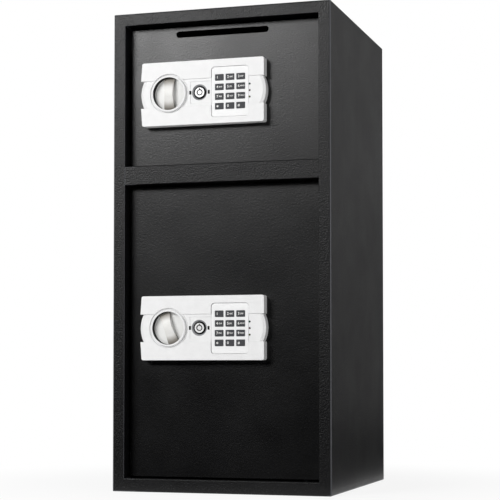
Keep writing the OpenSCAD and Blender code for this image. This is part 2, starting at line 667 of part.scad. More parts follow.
// Turning plug: key post in front, cam and nut behind
module lock_plug(d) color("#d5d7d9") at_lock(d) translate([lock_off, 0, 0]) {
    rod_y(0, 0, plug_r - 1.5, band_v + 1.1, band_v + 8);
    rod_y(0, 0, plug_r, band_v + 7, door_t + 15 + gap + 1);
    slab(door_t + 15 + gap, door_t + 17 + gap) {
        circle(8);
        translate([0, -4]) square([18, 8]);
    }
    translate([0, door_t + 20, 0]) rotate([90, 0, 0]) cylinder(r = 6, h = 3.2, $fn = 6);
}

// Letter chute

// Sheet hood behind the slot: letters slide back over the cover and drop behind it
module deposit_chute() color("#4a4b4d") {
    t = chute_t;
    z0 = door_z1[0] - slot_drop - slot_h / 2 - t;
    z1 = door_z1[0] - slot_drop + slot_h / 2 + t;
    y0 = door_back;
    y1 = door_back + cover_d + 3;                // back edge of the floor under the slot
    hood_y = y1 + chute_way;                     // where the roof turns down
    tail = [hood_y + 10, z0 - chute_way];        // lower edge of the back
    x = slot_l / 2 + 4;
    translate([slot_off, 0, 0]) {
        box([-x, y0, z0 - t], [x, y1, z0]);
        bar(-x, x) polygon([[y0, z1], [hood_y, z1], tail, [tail[0] + t, tail[1]], [hood_y + t, z1 + t],
            [y0 + t, z1 + t], [y0 + t, z1 + 2 * t], [y0, z1 + 2 * t]]);
        for (s = [-1, 1]) translate([s * (x + t / 2), 0, 0]) bar(-t / 2, t / 2)
            polygon([[y0, z0 - t], [y1, z0 - t], [tail[0] - 2, z0 - 10], [hood_y + t, z1 + t], [y0, z1 + t]]);
    }
}

// All nodes

cabinet_shell();
rail_and_stops();
divider_plate();
rear_panel();
floor_mats();
hinge_pins();
anchor_bolts();
deposit_chute();
for (d = [0, 1]) {
    door_plate(d);
    door_cover(d);
    battery_cover(d);
    reset_button(d);
    lock_panel(d);
    keypad_bezel(d);
    keypad_board(d);
    knob(d);
    knob_spindle(d);
    bolt_carriage(d);
    solenoid(d);
    solenoid_plunger(d);
    lock_barrel(d);
    lock_plug(d);
    for (k = [0:11]) key(d, k);
}
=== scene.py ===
import bpy
import bmesh
import math
from mathutils import Matrix, Vector


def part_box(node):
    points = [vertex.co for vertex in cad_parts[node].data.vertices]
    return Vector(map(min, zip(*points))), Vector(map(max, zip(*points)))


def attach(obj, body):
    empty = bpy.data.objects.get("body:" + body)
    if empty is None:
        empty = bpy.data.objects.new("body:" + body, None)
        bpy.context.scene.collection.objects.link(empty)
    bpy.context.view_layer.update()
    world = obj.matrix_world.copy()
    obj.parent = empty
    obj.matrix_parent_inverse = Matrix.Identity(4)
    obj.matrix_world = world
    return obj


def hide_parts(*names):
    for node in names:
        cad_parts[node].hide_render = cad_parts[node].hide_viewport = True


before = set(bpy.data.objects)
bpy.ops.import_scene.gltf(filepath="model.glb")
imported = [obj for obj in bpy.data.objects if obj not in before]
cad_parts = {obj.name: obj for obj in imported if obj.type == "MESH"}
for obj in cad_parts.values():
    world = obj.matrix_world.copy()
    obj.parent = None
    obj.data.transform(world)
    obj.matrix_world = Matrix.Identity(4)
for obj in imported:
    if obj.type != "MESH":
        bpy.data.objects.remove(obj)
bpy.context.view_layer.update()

# Camera: low at the right front, about two and a half metres away, with a long lens
# that looks up by two degrees. The small shift only centres the tall cabinet.

camera = bpy.data.objects.new("camera", bpy.data.cameras.new("camera"))
camera.location = (0.7287, -2.4013, 0.1878)
camera.rotation_euler = (math.radians(92.361), 0, math.radians(17.067))
camera.data.lens = 110.27
camera.data.sensor_width = 36
camera.data.shift_y = 0.1139
bpy.context.scene.collection.objects.link(camera)
bpy.context.scene.camera = camera

# Cabinet: folded from 3 mm mild steel, welded, then powder coated in matt black. The
# powder melts to a fine leathery grain, which glints like salt where light grazes it.

mm = 0.001
# Most of a noise pattern lies between these two values.
noise_low, noise_high = 0.3, 0.7
# The colour sockets of a Mix node go by number, because their names repeat.
plain, painted_light, mixed = 6, 7, 2
# Where the cabinet's edges get a painted highlight, as stretches of x from none to the full highlight.
highlight_right = (166 * mm, 170 * mm)
highlight_left = (-135 * mm, -140 * mm)
# The largest part of a rounded normal on a flat face, and where an edge takes the full painted highlight.
flat_part, full_highlight_part = 0.99, 0.8


def linear(colour):
    """A hex colour in sRGB as linear red, green, blue and alpha."""
    parts = [int(colour[i:i + 2], 16) / 255 for i in (1, 3, 5)]
    return [c / 12.92 if c <= 0.04045 else ((c + 0.055) / 1.055) ** 2.4 for c in parts] + [1]


def feed(tree, node, sockets):
    """Gives each socket of a node a number, a colour or the output that feeds it."""
    for name, value in sockets.items():
        if isinstance(value, bpy.types.NodeSocket):
            tree.links.new(value, node.inputs[name])
        else:
            node.inputs[name].default_value = value


def add(tree, kind, settings, sockets):
    """Adds a node with its settings and links. Stops are pairs of position and hex colour."""
    made = tree.nodes.new(kind)
    for name, value in settings.items():
        if name == "stops":
            for stop, (position, colour) in zip(made.color_ramp.elements, value):
                stop.position = position
                stop.color = linear(colour)
        else:
            setattr(made, name, value)
    feed(tree, made, sockets)
    return made


def start_finish(name, sockets):
    """A new material with its shader set, and the place on the object that patterns use."""
    finish = bpy.data.materials.new(name)
    finish.use_nodes = True
    tree = finish.node_tree
    shader = tree.nodes["Principled BSDF"]
    feed(tree, shader, sockets)
    place = add(tree, "ShaderNodeTexCoord", {}, {}).outputs["Object"]
    return finish, tree, shader, place


def highlight_mask(tree, place, normal):
    """How much a point lies on an edge with a painted highlight: 0 on the flat faces, 1 where two of them
    meet, and 0 on all that lies between the left flange and the right corner."""
    own = add(tree, "ShaderNodeVectorTransform", {"vector_type": "NORMAL",
        "convert_from": "WORLD", "convert_to": "OBJECT"}, {"Vector": normal})
    size = add(tree, "ShaderNodeVectorMath", {"operation": "ABSOLUTE"}, {0: own.outputs[0]})
    part = add(tree, "ShaderNodeSeparateXYZ", {}, {"Vector": size.outputs["Vector"]})
    most = part.outputs["X"]
    for other in "YZ":
        most = add(tree, "ShaderNodeMath", {"operation": "MAXIMUM"},
            {0: most, 1: part.outputs[other]}).outputs[0]
    share = add(tree, "ShaderNodeMapRange", {},
        {"Value": most, "From Min": flat_part, "From Max": full_highlight_part})
    across = add(tree, "ShaderNodeSeparateXYZ", {}, {"Vector": place}).outputs["X"]
    right, left = [add(tree, "ShaderNodeMapRange", {}, {"Value": across, "From Min": none, "From Max": full})
        for none, full in (highlight_right, highlight_left)]
    free = add(tree, "ShaderNodeMath", {"operation": "ADD"}, {0: right.outputs[0], 1: left.outputs[0]})
    return add(tree, "ShaderNodeMath", {"operation": "MULTIPLY"},
        {0: share.outputs[0], 1: free.outputs[0]}).outputs[0]


def powder_coat(name, dark, fleck, edge_highlight, grain, relief, gloss, shine, edge):
    """Baked powder: melted beads with pores between them, over rounded sheet edges that take a painted
    highlight colour. Its gloss drifts a little, in clouds of about 70 mm."""
    finish, tree, shader, place = start_finish(name, {"Specular IOR Level": shine})
    beads = add(tree, "ShaderNodeTexNoise", {},
        {"Vector": place, "Scale": 1 / grain, "Detail": 2.0, "Roughness": 0.6}).outputs["Fac"]
    pores = add(tree, "ShaderNodeTexVoronoi", {"feature": "SMOOTH_F1"},
        {"Vector": place, "Scale": 0.8 / grain, "Smoothness": 0.4})
    height = add(tree, "ShaderNodeMath", {"operation": "MULTIPLY_ADD"},
        {0: pores.outputs["Distance"], 1: -0.6, 2: beads})
    edges = add(tree, "ShaderNodeBevel", {"samples": 8}, {"Radius": edge}).outputs[0]
    bump = add(tree, "ShaderNodeBump", {},
        {"Strength": 1.0, "Distance": relief, "Height": height.outputs[0], "Normal": edges})
    coat = add(tree, "ShaderNodeValToRGB", {"stops": [(0.45, dark), (0.78, fleck)]}, {"Fac": beads})
    # The paler colour on the edges is a painted highlight.
    colour = add(tree, "ShaderNodeMix", {"data_type": "RGBA"}, {"Factor": highlight_mask(tree, place, edges),
        plain: coat.outputs["Color"], painted_light: linear(edge_highlight)})
    clouds = add(tree, "ShaderNodeTexNoise", {}, {"Vector": place, "Scale": 1 / (70 * mm), "Detail": 3.0})
    sheen = add(tree, "ShaderNodeMapRange", {}, {"Value": clouds.outputs["Fac"],
        "From Min": noise_low, "From Max": noise_high, "To Min": gloss - 0.03, "To Max": gloss + 0.03})
    feed(tree, shader, {"Base Color": colour.outputs[mixed], "Roughness": sheen.outputs[0],
        "Normal": bump.outputs[0]})
    return finish


# The real grain is about 0.6 mm; it is drawn at 1.8 mm so that it shows in a whole view. On the edges at the
# left flange and the right corner, a paler colour is painted as a highlight line.
cabinet_coat = powder_coat("powder coat, leathery black", "#040405", "#151517", "#5c5d61",
    grain=1.8 * mm, relief=0.4 * mm, gloss=0.40, shine=0.31, edge=1.8 * mm)
# Inside there is less powder: smoother, and a little greyer.
inner_coat = powder_coat("powder coat, thin inner layer", "#0b0b0d", "#18181a", "#18181a",
    grain=1.2 * mm, relief=0.04 * mm, gloss=0.48, shine=0.26, edge=0.9 * mm)


def dress(node, *finishes):
    """Gives a node of the frame its finishes, one for each slot."""
    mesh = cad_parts[node].data
    mesh.materials.clear()
    for finish in finishes:
        mesh.materials.append(finish)


for node in ("cabinet_shell", "rail_and_stops"):
    dress(node, cabinet_coat)
for node in ("divider_plate", "rear_panel"):
    dress(node, inner_coat)

# Doors: flat steel plates inside the frame, each with a folded steel pan behind it that
# closes in the lock work. The upper one drops letters through a slot into a steel chute.

DOORS = ("upper", "lower")
# The plates are coated lying flat, which leaves a calmer and glossier skin.
door_coat = powder_coat("powder coat, fine black", "#020203", "#0a0a0c", "#0a0a0c",
    grain=1.8 * mm, relief=0.14 * mm, gloss=0.32, shine=0.42, edge=1.2 * mm)
for door in DOORS:
    dress(f"{door}_door_plate", door_coat)
    dress(f"{door}_door_cover", inner_coat)
dress("deposit_chute", inner_coat)

# Lock panels and knobs: injection moulded ABS, sprayed with a fine silver lacquer. The flake
# is too small to see, so it reads as a bright satin white with a faint mottle.


def raise_relief(tree, shader, height, strength, depth, edge=None):
    """Lets a pattern stand up as a fine relief, on edges that may be rounded by a radius."""
    sockets = {"Strength": strength, "Distance": depth, "Height": height}
    if edge:
        sockets["Normal"] = add(tree, "ShaderNodeBevel", {"samples": 6}, {"Radius": edge}).outputs[0]
    bump = add(tree, "ShaderNodeBump", {}, sockets)
    feed(tree, shader, {"Normal": bump.outputs[0]})


def silver_lacquer(name, low, high, gloss=0.42, metal=0.0):
    """Sprayed lacquer: a fine flake of about 0.7 mm over a slow flow of 14 mm."""
    finish, tree, shader, place = start_finish(name, {"Metallic": metal, "Specular IOR Level": 0.3})
    flake = add(tree, "ShaderNodeTexNoise", {},
        {"Vector": place, "Scale": 1 / (0.7 * mm), "Detail": 1.0}).outputs["Fac"]
    flow = add(tree, "ShaderNodeTexNoise", {},
        {"Vector": place, "Scale": 1 / (14 * mm), "Detail": 3.0}).outputs["Fac"]
    mottle = add(tree, "ShaderNodeMath", {"operation": "MULTIPLY_ADD"}, {0: flake, 1: 0.4, 2: flow})
    colour = add(tree, "ShaderNodeValToRGB", {"stops": [(0.5, low), (0.9, high)]},
        {"Fac": mottle.outputs[0]})
    sheen = add(tree, "ShaderNodeMapRange", {}, {"Value": flow,
        "From Min": noise_low, "From Max": noise_high, "To Min": gloss - 0.02, "To Max": gloss + 0.02})
    feed(tree, shader, {"Base Color": colour.outputs["Color"], "Roughness": sheen.outputs[0]})
    raise_relief(tree, shader, flake, 0.08, 0.02 * mm, edge=0.5 * mm)
    return finish


def speckled(name, sockets, speck, detail, stops, strength=0, depth=0, edge=None):
    """A plain skin: fine specks vary its colour, and may stand up as relief too."""
    finish, tree, shader, place = start_finish(name, sockets)
    specks = add(tree, "ShaderNodeTexNoise", {},
        {"Vector": place, "Scale": 1 / speck, "Detail": detail}).outputs["Fac"]
    colour = add(tree, "ShaderNodeValToRGB", {"stops": stops}, {"Fac": specks})
    feed(tree, shader, {"Base Color": colour.outputs["Color"]})
    if strength:
        raise_relief(tree, shader, specks, strength, depth, edge)
    elif edge:
        edges = add(tree, "ShaderNodeBevel", {"samples": 6}, {"Radius": edge})
        feed(tree, shader, {"Normal": edges.outputs[0]})
    return finish


panel_silver = silver_lacquer("ABS, silver lacquer", "#e8e8e8", "#ededed")
# The bezel is a separate moulding, sprayed a little lighter. The knob is lighter still, as painted light
# against the shade that its grip rib casts on its pockets.
bezel_silver = silver_lacquer("ABS, pale silver lacquer", "#eeeeee", "#f4f4f4")
lightened_knob_silver = silver_lacquer("ABS, knob lacquer, lightened as painted light", "#f2f2f0", "#f7f7f5")
# The cone round the override lock is painted a dull grey, as painted shade in that recess.
cone_grey_shade = silver_lacquer("ABS, silver greyed as painted shade", "#8f9092", "#a4a5a7", gloss=0.45)
# Into the wells, the bores and the slots a near black is painted as shade.
shade_black_abs = speckled("ABS, black as painted shade", {"Roughness": 0.5, "Specular IOR Level": 0.2},
    0.6 * mm, 2.0, [(0.3, "#08080a"), (0.7, "#131315")], 0.3, 0.03 * mm)


def axis_of(node):
    """Middle of a round node, which lies on its axis, as x and z."""
    low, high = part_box(node)
    return (low.x + high.x) / 2, (low.z + high.z) / 2


# Between these distances from the knob's axis, the grip rib's painted shade grows.
shade_from, shade_to = 10 * mm, 23 * mm     # from the knob's axis to the ends of its rib


def shaded_rib_lacquer(name, x, z):
    """The lacquer of a grip rib, with painted shade: its ends are painted a warm grey."""
    finish = silver_lacquer(name, "#e0dfdc", "#e8e7e4", gloss=0.36)
    tree = finish.node_tree
    shader = tree.nodes["Principled BSDF"]
    place = add(tree, "ShaderNodeTexCoord", {}, {}).outputs["Object"]
    flat = add(tree, "ShaderNodeMapping", {},
        {"Vector": place, "Location": (-x, 0, -z), "Scale": (1, 0, 1)})
    away = add(tree, "ShaderNodeVectorMath", {"operation": "LENGTH"}, {0: flat.outputs[0]})
    share = add(tree, "ShaderNodeMapRange", {"interpolation_type": "SMOOTHSTEP"},
        {"Value": away.outputs["Value"], "From Min": shade_from, "From Max": shade_to})
    lacquer = shader.inputs["Base Color"].links[0].from_socket
    # The warm grey mixed in towards the rib's ends is painted shade.
    colour = add(tree, "ShaderNodeMix", {"data_type": "RGBA"},
        {"Factor": share.outputs[0], plain: lacquer, painted_light: linear("#9b968e")})
    feed(tree, shader, {"Base Color": colour.outputs[mixed]})
    return finish


well_r = 25.7 * mm                      # the knob's well with its wall
bore_r = 10.1 * mm                      # the bore round the override lock
cone_r = 12.7 * mm                      # the cone round that bore
facing = 0.95                           # faces of the panel that look to the front
slot_x = 15 * mm                        # the slots of the lock's cap, on either side of it
slot_w, slot_h = 3.4 * mm, 6 * mm
slot_y = -179.4 * mm                    # what lies behind this is inside a slot
rib_h = 7.6 * mm                        # height of the grip rib over its disc
for door in DOORS:
    knob_x, knob_z = axis_of(f"{door}_knob")
    lock_x, lock_z = axis_of(f"{door}_lock_barrel")
    rib_silver_with_shade = shaded_rib_lacquer(f"ABS, lacquer with painted shade, {door} grip", knob_x, knob_z)
    dress(f"{door}_lock_panel", panel_silver, shade_black_abs, cone_grey_shade)
    dress(f"{door}_keypad_bezel", bezel_silver)
    dress(f"{door}_knob", lightened_knob_silver, rib_silver_with_shade)
    rib_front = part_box(f"{door}_knob")[0].y
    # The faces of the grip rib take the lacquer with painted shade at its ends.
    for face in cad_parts[f"{door}_knob"].data.polygons:
        if face.center.y < rib_front + rib_h:
            face.material_index = 1
    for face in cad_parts[f"{door}_lock_panel"].data.polygons:
        x, y, z = face.center
        from_lock = math.hypot(x - lock_x, z - lock_z)
        in_well = math.hypot(x - knob_x, z - knob_z) < well_r
        beside = abs(abs(x - lock_x) - slot_x) < slot_w / 2 and abs(z - lock_z) < slot_h / 2
        # Faces in the knob's well, in the lock's bore and inside the cap's slots take the painted shade.
        if in_well or from_lock < bore_r or (beside and y > slot_y):
            face.material_index = 1
        # The sloped faces of the cone take the grey of painted shade.
        elif from_lock < cone_r and abs(face.normal.y) < facing:
            face.material_index = 2

# Keys: one silicone rubber mat, dark grey, moulded with a flange behind the bezel. The
# numbers and the small letters of a telephone are printed on them in white ink.

# Rubber is dull all over, and dust dims it in fine specks.
rubber = speckled("silicone rubber, dark grey", {"Roughness": 0.62, "Specular IOR Level": 0.35},
    0.5 * mm, 3.0, [(0.3, "#37383b"), (0.75, "#46474a")], 0.15, 0.03 * mm, edge=0.5 * mm)
# The mesh of the screen breaks the white of the ink a little.
ink = speckled("screen ink, white", {"Roughness": 0.5},
    0.3 * mm, 1.0, [(0.3, "#e4e4e2"), (0.7, "#f6f6f4")])

LETTERS = {"1": "", "2": "ABC", "3": "DEF", "4": "GHI", "5": "JKL", "6": "MNO", "7": "PRS",
    "8": "TUV", "9": "WXY", "star": "", "0": "", "hash": ""}
SIGNS = {"star": "*", "hash": "#"}
sign_size, sign_in = 5.6 * mm, 3.2 * mm         # size of a number, and its place from the left
letters_size, letters_in = 3.1 * mm, 6.9 * mm
star_size, star_drop = 8 * mm, -1.6 * mm        # a star is small, and high in its line
ink_t = 0.08 * mm
stroke_gain = 0.018                             # ink spreads a stroke by this share of its size


def printed_word(word, size, left, middle, face):
    """A word as a closed mesh that faces the front, from its left edge and mid height."""
    curve = bpy.data.curves.new("word", "FONT")
    curve.body = word
    curve.size = size
    curve.align_y = "CENTER"
    curve.extrude = ink_t / 2
    curve.offset = size * stroke_gain
    curve.resolution_u = 3
    holder = bpy.data.objects.new("word", curve)
    bpy.context.scene.collection.objects.link(holder)
    bpy.context.view_layer.update()
    shapes = bpy.context.evaluated_depsgraph_get()
    mesh = bpy.data.meshes.new_from_object(holder.evaluated_get(shapes))
    bpy.data.objects.remove(holder)
    upright = Matrix.Rotation(math.radians(90), 4, "X")
    mesh.transform(Matrix.Translation((left, face, middle)) @ upright)
    return mesh


def piece_of(name, shape, finish, body):
    """Turns a bmesh into a piece of the safe that rides on a body."""
    mesh = bpy.data.meshes.new(name)
    bmesh.ops.remove_doubles(shape, verts=shape.verts, dist=1e-6)
    bmesh.ops.recalc_face_normals(shape, faces=shape.faces)
    shape.to_mesh(mesh)
    shape.free()
    mesh.materials.append(finish)
    made = bpy.data.objects.new(name, mesh)
    bpy.context.scene.collection.objects.link(made)
    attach(made, body)
    return made


for door in DOORS:
    for key, letters in LETTERS.items():
        node = f"{door}_key_{key}"
        dress(node, rubber)
        low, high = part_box(node)
        middle = (low.z + high.z) / 2
        size, drop = (star_size, star_drop) if key == "star" else (sign_size, 0)
        shape = bmesh.new()
        shape.from_mesh(printed_word(SIGNS.get(key, key), size, low.x + sign_in, middle + drop, low.y))
        if letters:
            shape.from_mesh(printed_word(letters, letters_size, low.x + letters_in, middle, low.y))
        piece_of(f"{door}_legend_{key}", shape, ink, node)

# Keypad board: glass epoxy under green solder mask. Three lamps with coloured epoxy lenses
# stand through the panel beside the keys, dark while they are off.

# The glass cloth shows through the mask as faint squares, drawn far larger than they are.
solder_mask, tree, shader, place = start_finish("glass epoxy, green solder mask", {"Roughness": 0.32})
weave = add(tree, "ShaderNodeTexBrick", {"offset": 0.5},
    {"Vector": place, "Scale": 1 / (9 * mm), "Mortar Size": 0.03, "Color1": linear("#1f5a30"),
    "Color2": linear("#236336"), "Mortar": linear("#174826")})
feed(tree, shader, {"Base Color": weave.outputs["Color"]})
raise_relief(tree, shader, weave.outputs["Fac"], 0.3, 0.05 * mm)


def lens_epoxy(colour, bright, deep):
    """Clear coloured epoxy over a dark chip: hazy inside, with a glossy skin."""
    return speckled(f"epoxy lens, {colour}", {"Roughness": 0.16, "Coat Weight": 0.6},
        1.2 * mm, 2.0, [(0.35, deep), (0.7, bright)])


def turn_profile(shape, profile, x, y, z, steps, forward=False):
    """Spins a profile of radii and heights in mm round an axis along y."""
    side = -mm if forward else mm
    points = [shape.verts.new((x + r * mm, y + h * side, z)) for r, h in profile]
    line = [shape.edges.new((a, b)) for a, b in zip(points, points[1:])]
    bmesh.ops.spin(shape, geom=points + line, cent=(x, y, z), axis=(0, 1, 0),
        angle=math.tau, steps=steps, use_merge=True, dvec=(0, 0, 0))


lenses = (("yellow", lens_epoxy("yellow", "#5c5a1c", "#3a3910"), -1),
    ("red", lens_epoxy("red", "#581434", "#380c20"), 0),
    ("green", lens_epoxy("green", "#154a3a", "#0b2f25"), 1))
lens_profile = ((0, 0.75), (0.45, 0.71), (0.85, 0.57), (1.2, 0.32), (1.42, -0.05), (1.45, -0.6),
    (0, -0.6))
lens_step = 10 * mm
lens_beside = 1.8 * mm                  # from the bezel's right edge
lens_proud = 0.2 * mm                   # in front of the bezel's face

for door in DOORS:
    dress(f"{door}_keypad_board", solder_mask)
    low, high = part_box(f"{door}_keypad_bezel")
    for colour, epoxy, step in lenses:
        middle = (low.z + high.z) / 2 + step * lens_step
        shape = bmesh.new()
        turn_profile(shape, lens_profile, high.x + lens_beside, low.y - lens_proud, middle, 24,
            forward=True)
        piece_of(f"{door}_lamp_{colour}", shape, epoxy, f"{door}_door")

# Override locks: a tubular cam lock of zinc alloy with a satin chrome nose, set in a coned ring that is
# painted grey as shade. The turning plug shows as a bright post in a ring for the key that is painted dark
# as shade.

satin = silver_lacquer("zinc alloy, satin chrome", "#e6e6e6", "#f0f0f0", gloss=0.34, metal=0.15)
# Inside the ring for the key, past its plated front, a dull near black is painted as shade.
keyway = speckled("zinc alloy, near black as painted shade", {"Roughness": 0.6, "Specular IOR Level": 0.1},
    0.8 * mm, 2.0, [(0.3, "#0a0a0a"), (0.7, "#161616")], 0.3, 0.03 * mm)

plated_h = 0.3 * mm                     # the plated front of the lock
keyway_l = 28 * mm                      # the ring for the key, from the front to its end
nose_l, nose_r = 12 * mm, 7.7 * mm      # further in than the nose, the ring is inside this radius
for door in DOORS:
    x, z = axis_of(f"{door}_lock_barrel")
    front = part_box(f"{door}_lock_barrel")[0].y
    for part in ("lock_barrel", "lock_plug"):
        dress(f"{door}_{part}", satin, keyway)
        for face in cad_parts[f"{door}_{part}"].data.polygons:
            depth = face.center.y - front
            in_ring = math.hypot(face.center.x - x, face.center.z - z) < nose_r or depth < nose_l
            # Faces deep in the ring for the key take the painted shade.
            if plated_h < depth < keyway_l and in_ring:
                face.material_index = 1

# Bolt work and hinge pins: pressed and turned steel. The sheet parts are zinc plated, with
# the cloudy bluish look of passivated zinc; the live bolts are turned bright, with fine rings.


def plated(name, low, high, gloss, streak, relief):
    """Plated steel: tool marks of 1 mm, drawn out by the streak, under clouds of 11 mm."""
    finish, tree, shader, place = start_finish(name, {"Metallic": 1.0})
    drawn = add(tree, "ShaderNodeMapping", {}, {"Vector": place, "Scale": streak})
    lines = add(tree, "ShaderNodeTexNoise", {},
        {"Vector": drawn.outputs[0], "Scale": 1 / (1 * mm), "Detail": 2.0}).outputs["Fac"]
    clouds = add(tree, "ShaderNodeTexNoise", {},
        {"Vector": place, "Scale": 1 / (11 * mm), "Detail": 4.0}).outputs["Fac"]
    colour = add(tree, "ShaderNodeValToRGB", {"stops": [(0.35, low), (0.65, high)]}, {"Fac": clouds})
    sheen = add(tree, "ShaderNodeMapRange", {}, {"Value": clouds,
        "From Min": noise_low, "From Max": noise_high, "To Min": gloss - 0.05, "To Max": gloss + 0.05})
    feed(tree, shader, {"Base Color": colour.outputs["Color"], "Roughness": sheen.outputs[0]})
    raise_relief(tree, shader, lines, relief, 0.03 * mm, edge=0.3 * mm)
    return finish


zinc_sheet = plated("steel, zinc plated and passivated", "#a9adb4", "#c3c6c6", 0.36, (0.3, 3, 3), 0.25)
turned_steel = plated("steel, turned and nickel plated", "#b9b9b8", "#cfcfcd", 0.22, (3, 0.05, 0.05), 0.3)
spindle_steel = plated("steel, turned across", "#9fa1a4", "#b9bbbd", 0.28, (0.1, 3, 0.1), 0.3)
screw_zinc = plated("steel, drawn and zinc plated", "#a8aaae", "#c0c2c5", 0.3, (0.1, 0.1, 3), 0.3)
hinge_steel = plated("steel, black oxide", "#1b1c1e", "#27282a", 0.34, (0.1, 0.1, 3), 0.3)

# The coil is wound and taped: the turns of its wire show through as fine rings.
coil_tape, tree, shader, place = start_finish("coil tape, amber polyester", {"Roughness": 0.28})
turns = add(tree, "ShaderNodeMapping", {}, {"Vector": place, "Scale": (0.05, 0.05, 1)})
wire = add(tree, "ShaderNodeTexNoise", {},
    {"Vector": turns.outputs[0], "Scale": 1 / (0.5 * mm), "Detail": 1.0}).outputs["Fac"]
colour = add(tree, "ShaderNodeValToRGB", {"stops": [(0.3, "#7a4a1c"), (0.7, "#b07a30")]}, {"Fac": wire})
feed(tree, shader, {"Base Color": colour.outputs["Color"]})
raise_relief(tree, shader, wire, 0.5, 0.1 * mm)

bolts_l = 57.5 * mm                     # from the bolts' tips to the carriage's upright flange
flange_t = 3.5 * mm
coil_x, coil_y = 12 * mm, 9.5 * mm      # the coil's axis, from the corner of its frame
coil_inner, coil_outer = 7 * mm, 9.3 * mm
coil_frame = 2.1 * mm
upright_face = 0.1                      # faces of the coil that don't look up or down
dress("hinge_pins", hinge_steel)
for door in DOORS:
    dress(f"{door}_bolt_carriage", zinc_sheet, turned_steel)
    dress(f"{door}_knob_spindle", spindle_steel)
    dress(f"{door}_solenoid_plunger", screw_zinc)
    dress(f"{door}_solenoid", zinc_sheet, coil_tape)
    low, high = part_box(f"{door}_bolt_carriage")
    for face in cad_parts[f"{door}_bolt_carriage"].data.polygons:
        if face.center.x < low.x + bolts_l and face.center.y > low.y + flange_t:
            face.material_index = 1
    # The coil is the round body between the plates of the frame.
    low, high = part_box(f"{door}_solenoid")
    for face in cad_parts[f"{door}_solenoid"].data.polygons:
        x, y, z = face.center
        on_coil = coil_inner < math.hypot(x - low.x - coil_x, y - low.y - coil_y) < coil_outer
        if on_coil and abs(face.normal.z) < upright_face and y > low.y + coil_frame:
            face.material_index = 1

# Battery lids and reset buttons, on the back of each door: the lid is moulded in ABS and
# slides off its pocket, and the small red button beside it is pressed from inside the safe.

# Sparks pit the mould of the lid, so its skin is even and hardly shines.
lid_plastic, tree, shader, place = start_finish("ABS, spark textured black", {"Roughness": 0.55})
spark = add(tree, "ShaderNodeTexVoronoi", {},
    {"Vector": place, "Scale": 1 / (0.8 * mm)}).outputs["Distance"]
colour = add(tree, "ShaderNodeValToRGB", {"stops": [(0.2, "#17181a"), (0.8, "#242527")]}, {"Fac": spark})
feed(tree, shader, {"Base Color": colour.outputs["Color"]})
raise_relief(tree, shader, spark, 0.35, 0.06 * mm, edge=0.4 * mm)
# The button comes from a polished mould: smooth, with a soft gloss and faint flow marks.
button_plastic = speckled("ABS, moulded red", {"Roughness": 0.3},
    3 * mm, 2.0, [(0.3, "#9c1d18"), (0.7, "#b52a22")], edge=0.5 * mm)

for door in DOORS:
    dress(f"{door}_battery_cover", lid_plastic)
    dress(f"{door}_reset_button", button_plastic)

# Cover screws: pan head machine screws of zinc plated steel with a cross recess, one in
# each of the four tabs of a cover. They are turned by chance, as screws end up.

screw_profile = ((0, -3.0), (1.9, -3.0), (1.9, 0), (3.9, 0), (4.0, 0.2), (4.0, 1.0), (3.6, 1.7),
    (2.6, 2.2), (1.3, 2.45), (0, 2.5))
recess_l, recess_w, recess_h = 4.4 * mm, 0.95 * mm, 3.0 * mm
recess_y = 2.6 * mm                     # middle of the recess cutter over the screw's seat
recess_taper = (0.55, 1, 0.75)          # how far its blades narrow at the bottom


def cross_screw(x, y, z, turn):
    """A pan head with its cross recess, seen from inside the safe; y is its seat."""
    shape = bmesh.new()
    turn_profile(shape, screw_profile, 0, 0, 0, 32)
    bmesh.ops.remove_doubles(shape, verts=shape.verts, dist=1e-7)
    bmesh.ops.recalc_face_normals(shape, faces=shape.faces)
    head = bpy.data.meshes.new("head")
    shape.to_mesh(head)
    shape.free()
    cutter = bmesh.new()
    for angle in (0, math.pi / 2):
        blade = bmesh.ops.create_cube(cutter, size=1)["verts"]
        bmesh.ops.scale(cutter, vec=(recess_l, recess_h, recess_w), verts=blade)
        bmesh.ops.rotate(cutter, cent=(0, 0, 0), matrix=Matrix.Rotation(angle, 3, "Y"), verts=blade)
        bmesh.ops.translate(cutter, vec=(0, recess_y, 0), verts=blade)
        tips = [v for v in blade if v.co.y < recess_y]
        bmesh.ops.scale(cutter, vec=recess_taper, verts=tips)
    recess = bpy.data.meshes.new("recess")
    cutter.to_mesh(recess)
    cutter.free()
    holder = bpy.data.objects.new("holder", head)
    tool = bpy.data.objects.new("tool", recess)
    for made in (holder, tool):
        bpy.context.scene.collection.objects.link(made)
    cut = holder.modifiers.new("recess", "BOOLEAN")
    cut.object = tool
    cut.operation = "DIFFERENCE"
    cut.solver = "EXACT"
    cut.use_self = True
    bpy.context.view_layer.update()
    shapes = bpy.context.evaluated_depsgraph_get()
    mesh = bpy.data.meshes.new_from_object(holder.evaluated_get(shapes))
    bpy.data.objects.remove(holder)
    bpy.data.objects.remove(tool)
    mesh.transform(Matrix.Translation((x, y, z)) @ Matrix.Rotation(turn, 4, "Y"))
    return mesh


tab_t = 1.5 * mm
tab_in = 20 * mm                        # middle of a tab from the side of the cover
tab_up = 5 * mm                         # and from its upper or lower end
for door in DOORS:
    low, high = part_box(f"{door}_door_cover")
    for side, x in (("left", low.x + tab_in), ("right", high.x - tab_in)):
        for level, z in (("bottom", low.z + tab_up), ("top", high.z - tab_up)):
            # An angle in radians that differs from screw to screw, and is the same in each run.
            chance = (x * 90 + z * 70) % 1.5
            shape = bmesh.new()
            shape.from_mesh(cross_screw(x, low.y + tab_t, z, chance))
            piece_of(f"{door}_cover_screw_{side}_{level}", shape, screw_zinc, f"{door}_door")

# Floor mats: needle felt of dark polyester, cut to size and laid loose, so that nothing
# rattles on the steel. Its fibres lie crosswise and stand up a little.

